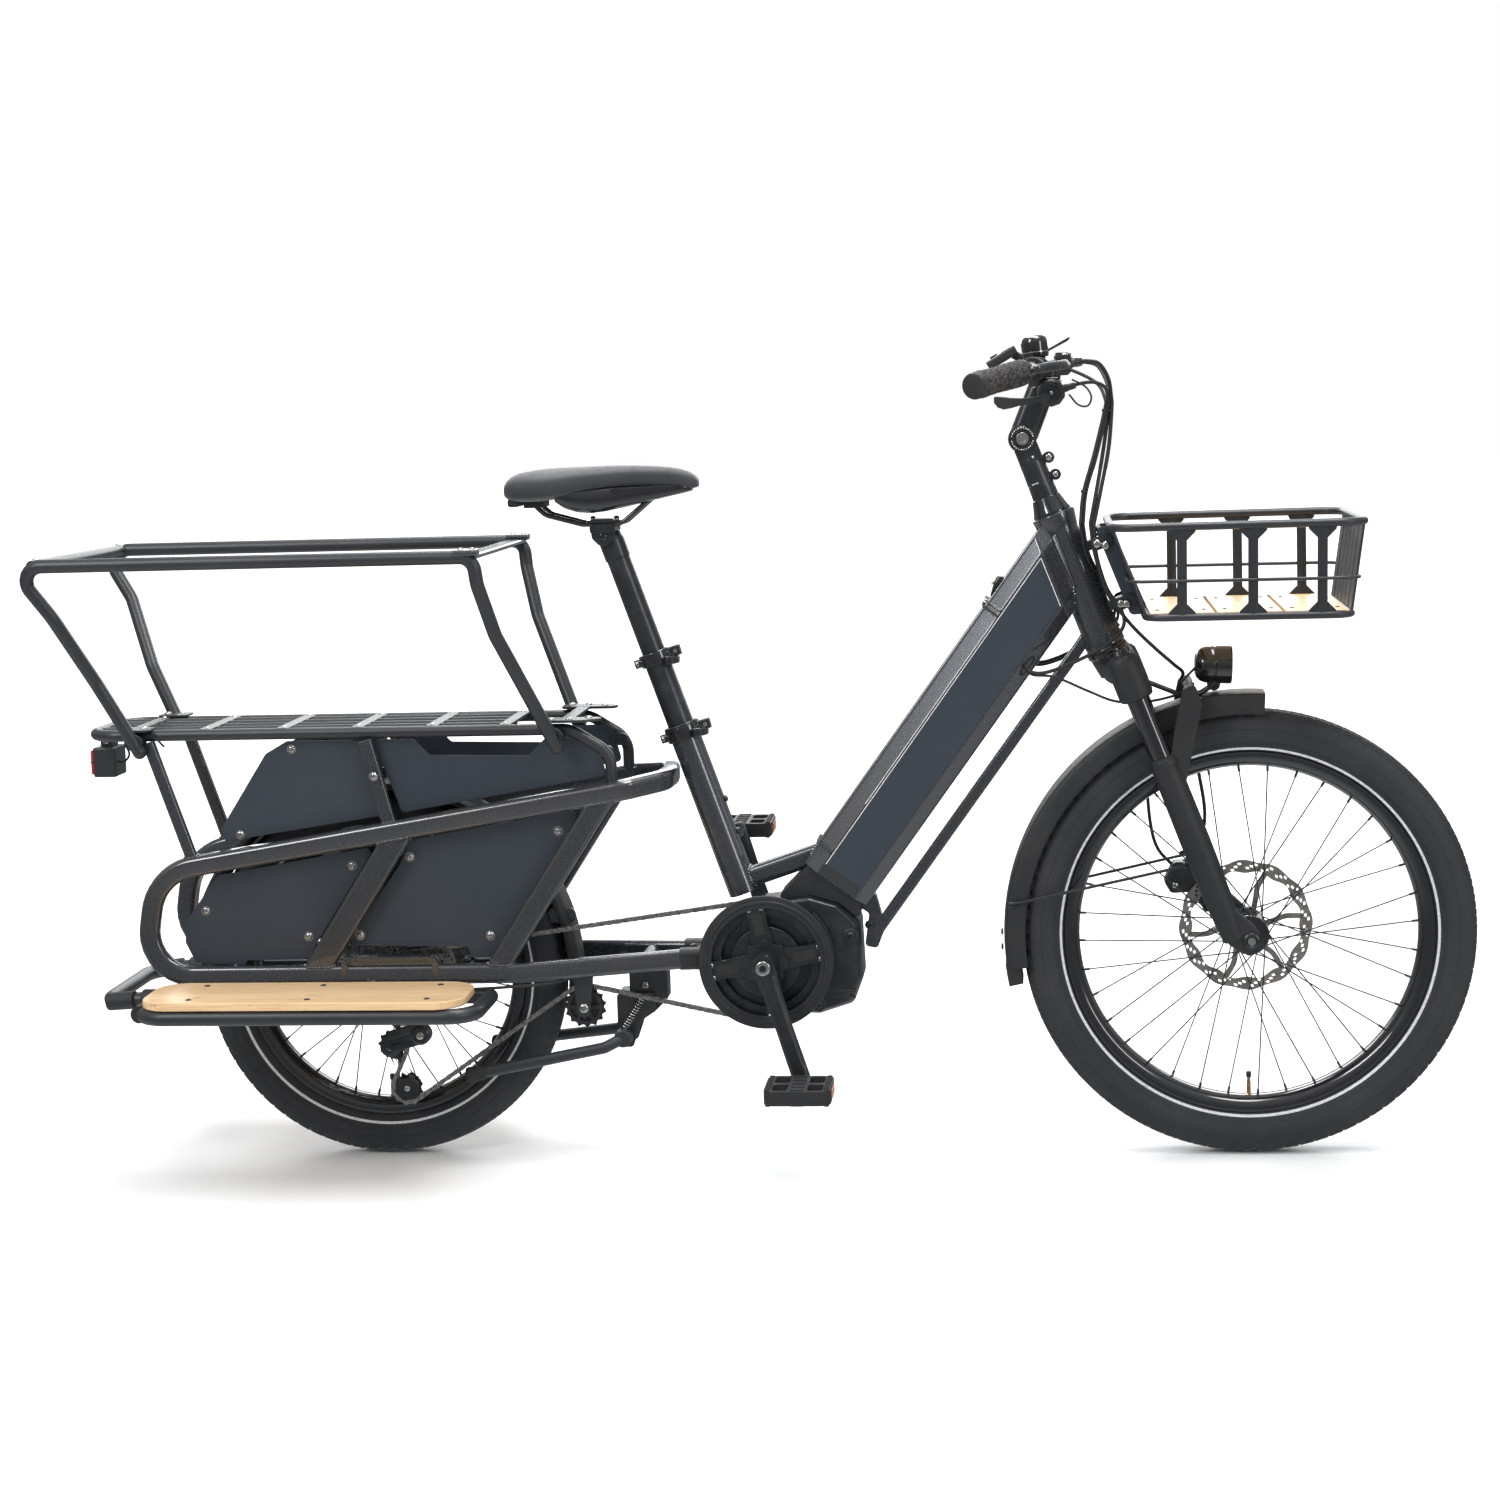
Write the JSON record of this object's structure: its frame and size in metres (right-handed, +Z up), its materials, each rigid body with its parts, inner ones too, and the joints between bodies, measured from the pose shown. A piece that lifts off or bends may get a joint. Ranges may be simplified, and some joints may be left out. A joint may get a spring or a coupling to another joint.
{
  "type": "cargo bicycle",
  "caption": "Longtail electric cargo bicycle with front basket, rear passenger rails over a long rack, wooden foot decks, side panels and centre stand.",
  "frame": {"origin": "centre of the length and width, on the ground", "axes": "+X forward towards the front wheel, +Y to the rider's left, +Z up"},
  "size_m": [2.0281, 0.7004, 1.1675],
  "materials": {
    "frame_grey": "metallic gloss",
    "satin_black": "satin",
    "panel_slate": "satin",
    "black_plastic": "matte",
    "gloss_black": "gloss",
    "rubber": "matte",
    "tyre": "matte",
    "steel": "brushed",
    "alloy_black": "anodised",
    "bamboo": "clear coated",
    "red_lens": "gloss"
  },
  "bodies": {
    "frame": {"main_frame": "frame_grey", "rear_frame": "frame_grey", "cargo_rack": "satin_black", "motor_housing": "black_plastic", "panel_upper_rear_right": "panel_slate", "panel_upper_rear_left": "panel_slate", "panel_upper_front_right": "panel_slate", "panel_upper_front_left": "panel_slate", "panel_lower_rear_right": "panel_slate", "panel_lower_rear_left": "panel_slate", "panel_lower_front_right": "panel_slate", "panel_lower_front_left": "panel_slate", "passenger_rails": "satin_black", "deck_frame": "satin_black", "deck_right": "bamboo", "deck_left": "bamboo", "basket": "satin_black", "rear_fender": "satin_black", "rear_light": "red_lens", "derailleur_body": "black_plastic", "chain": "steel", "cable_loom": "rubber"},
    "battery": {"battery_pack": "panel_slate"},
    "seatpost_lower": {"seatpost_lower": "alloy_black"},
    "seatpost_upper": {"seatpost_upper": "alloy_black"},
    "saddle": {"saddle": "black_plastic"},
    "lower_clamp_lever": {"clamp_lever_lower": "steel"},
    "upper_clamp_lever": {"clamp_lever_upper": "steel"},
    "steering": {"fork_upper": "satin_black", "stem_riser": "alloy_black"},
    "sliders": {"fork_lowers": "satin_black", "front_fender": "satin_black"},
    "headlamp": {"headlamp": "black_plastic"},
    "front_wheel": {"front_tire": "tyre", "front_wheel": "alloy_black"},
    "bar": {"stem_arm": "alloy_black", "handlebar": "alloy_black", "grip_right": "rubber", "grip_left": "rubber", "brake_body_right": "black_plastic", "brake_body_left": "black_plastic", "shifter_body": "black_plastic", "bell": "gloss_black", "display_remote": "black_plastic"},
    "right_brake_lever": {"brake_lever_right": "alloy_black"},
    "left_brake_lever": {"brake_lever_left": "alloy_black"},
    "shift_paddle": {"shift_paddle": "black_plastic"},
    "remote_button": {"remote_button": "black_plastic"},
    "rear_wheel": {"rear_tire": "tyre", "rear_wheel": "alloy_black"},
    "cassette": {"cassette": "steel"},
    "crank": {"crankset_right": "alloy_black", "crank_left": "alloy_black"},
    "right_pedal": {"pedal_right": "black_plastic"},
    "left_pedal": {"pedal_left": "black_plastic"},
    "idler": {"idler_wheel": "black_plastic"},
    "cage": {"derailleur_cage": "alloy_black"},
    "upper_pulley": {"pulley_upper": "black_plastic"},
    "lower_pulley": {"pulley_lower": "black_plastic"},
    "stand": {"centre_stand": "satin_black"}
  },
  "joints": [
    {"name": "steering", "type": "hinge", "parent": "frame", "child": "steering", "pos_m": [0.4999, 0, 0.727], "axis": [-0.3584, 0, 0.9336], "range_deg": [-60, 60], "deforming": ["cable_loom"]},
    {"name": "fork_travel", "type": "slide", "parent": "steering", "child": "sliders", "axis": [-0.3584, 0, 0.9336], "range_m": [0, 0.036], "stiffness_N_per_m": 9000, "springref_m": -0.02},
    {"name": "headlamp_tilt", "type": "hinge", "parent": "sliders", "child": "headlamp", "pos_m": [0.6479, 0, 0.674], "axis": [0, 1, 0], "range_deg": [-5, 12]},
    {"name": "front_wheel_spin", "type": "hinge", "parent": "sliders", "child": "front_wheel", "pos_m": [0.6939, 0, 0.32], "axis": [0, 1, 0], "continuous": true},
    {"name": "stem_tilt", "type": "hinge", "parent": "steering", "child": "bar", "pos_m": [0.38522, 0, 1.02575], "axis": [0, 1, 0], "range_deg": [-40, 25], "deforming": ["cable_loom"]},
    {"name": "right_brake", "type": "hinge", "parent": "bar", "child": "right_brake_lever", "pos_m": [0.4439, -0.207, 1.126], "axis": [0, 0, -1], "range_deg": [0, 18], "stiffness_Nm_per_rad": 0.6, "springref_deg": -11.46},
    {"name": "left_brake", "type": "hinge", "parent": "bar", "child": "left_brake_lever", "pos_m": [0.4439, 0.207, 1.126], "axis": [0, 0, 1], "range_deg": [0, 18], "stiffness_Nm_per_rad": 0.6, "springref_deg": -11.46},
    {"name": "shift_push", "type": "hinge", "parent": "bar", "child": "shift_paddle", "pos_m": [0.4179, -0.1545, 1.083], "axis": [0, 0, -1], "range_deg": [0, 14], "stiffness_Nm_per_rad": 0.25, "springref_deg": -5.73},
    {"name": "remote_press", "type": "slide", "parent": "bar", "child": "remote_button", "axis": [0.501, 0, -0.8654], "range_m": [0, 0.0018], "stiffness_N_per_m": 400, "springref_m": -0.001},
    {"name": "rear_wheel_spin", "type": "hinge", "parent": "frame", "child": "rear_wheel", "pos_m": [-0.5581, 0, 0.2695], "axis": [0, 1, 0], "continuous": true},
    {"name": "crank_spin", "type": "hinge", "parent": "frame", "child": "crank", "pos_m": [0.0089, 0, 0.292], "axis": [0, 1, 0], "continuous": true},
    {"name": "cassette_spin", "type": "hinge", "parent": "frame", "child": "cassette", "pos_m": [-0.5581, 0, 0.2695], "axis": [0, 1, 0], "continuous": true},
    {"name": "idler_spin", "type": "hinge", "parent": "frame", "child": "idler", "pos_m": [-0.2561, -0.052, 0.227], "axis": [0, 1, 0], "continuous": true},
    {"name": "right_pedal_spin", "type": "hinge", "parent": "crank", "child": "right_pedal", "pos_m": [0.06143, 0, 0.13032], "axis": [0, 1, 0], "continuous": true},
    {"name": "left_pedal_spin", "type": "hinge", "parent": "crank", "child": "left_pedal", "pos_m": [-0.04363, 0, 0.45368], "axis": [0, 1, 0], "continuous": true},
    {"name": "cage_swing", "type": "hinge", "parent": "frame", "child": "cage", "pos_m": [-0.5421, -0.052, 0.172], "axis": [0, 1, 0], "range_deg": [-22, 12], "stiffness_Nm_per_rad": 1.5, "deforming": ["chain"]},
    {"name": "upper_pulley_spin", "type": "hinge", "parent": "cage", "child": "upper_pulley", "pos_m": [-0.5421, -0.052, 0.172], "axis": [0, 1, 0], "continuous": true},
    {"name": "lower_pulley_spin", "type": "hinge", "parent": "cage", "child": "lower_pulley", "pos_m": [-0.5221, -0.052, 0.108], "axis": [0, 1, 0], "continuous": true},
    {"name": "seatpost_lower_slide", "type": "slide", "parent": "frame", "child": "seatpost_lower", "axis": [-0.3256, 0, 0.9455], "range_m": [-0.045, 0.08]},
    {"name": "seatpost_upper_slide", "type": "slide", "parent": "seatpost_lower", "child": "seatpost_upper", "axis": [-0.3256, 0, 0.9455], "range_m": [-0.08, 0.08]},
    {"name": "saddle_tilt", "type": "hinge", "parent": "seatpost_upper", "child": "saddle", "pos_m": [-0.2101, 0, 0.904], "axis": [0, 1, 0], "range_deg": [-10, 10]},
    {"name": "lower_clamp", "type": "hinge", "parent": "frame", "child": "lower_clamp_lever", "pos_m": [-0.09045, 0.02944, 0.62011], "axis": [0, 0, 1], "range_deg": [0, 100]},
    {"name": "upper_clamp", "type": "hinge", "parent": "seatpost_lower", "child": "upper_clamp_lever", "pos_m": [-0.12776, 0.02685, 0.72412], "axis": [0, 0, 1], "range_deg": [0, 100]},
    {"name": "battery_lift", "type": "slide", "parent": "frame", "child": "battery", "axis": [-0.8096, 0, 0.587], "range_m": [0, 0.12]},
    {"name": "stand_swing", "type": "hinge", "parent": "frame", "child": "stand", "pos_m": [-0.2031, 0, 0.179], "axis": [0, -1, 0], "range_deg": [0, 95]}
  ],
  "couplings": [
    {"joint": "cassette_spin", "follows": "crank_spin", "ratio": 2.75},
    {"joint": "idler_spin", "follows": "crank_spin", "ratio": -2.7937},
    {"joint": "upper_pulley_spin", "follows": "crank_spin", "ratio": -3.9111},
    {"joint": "lower_pulley_spin", "follows": "crank_spin", "ratio": 3.9111}
  ]
}
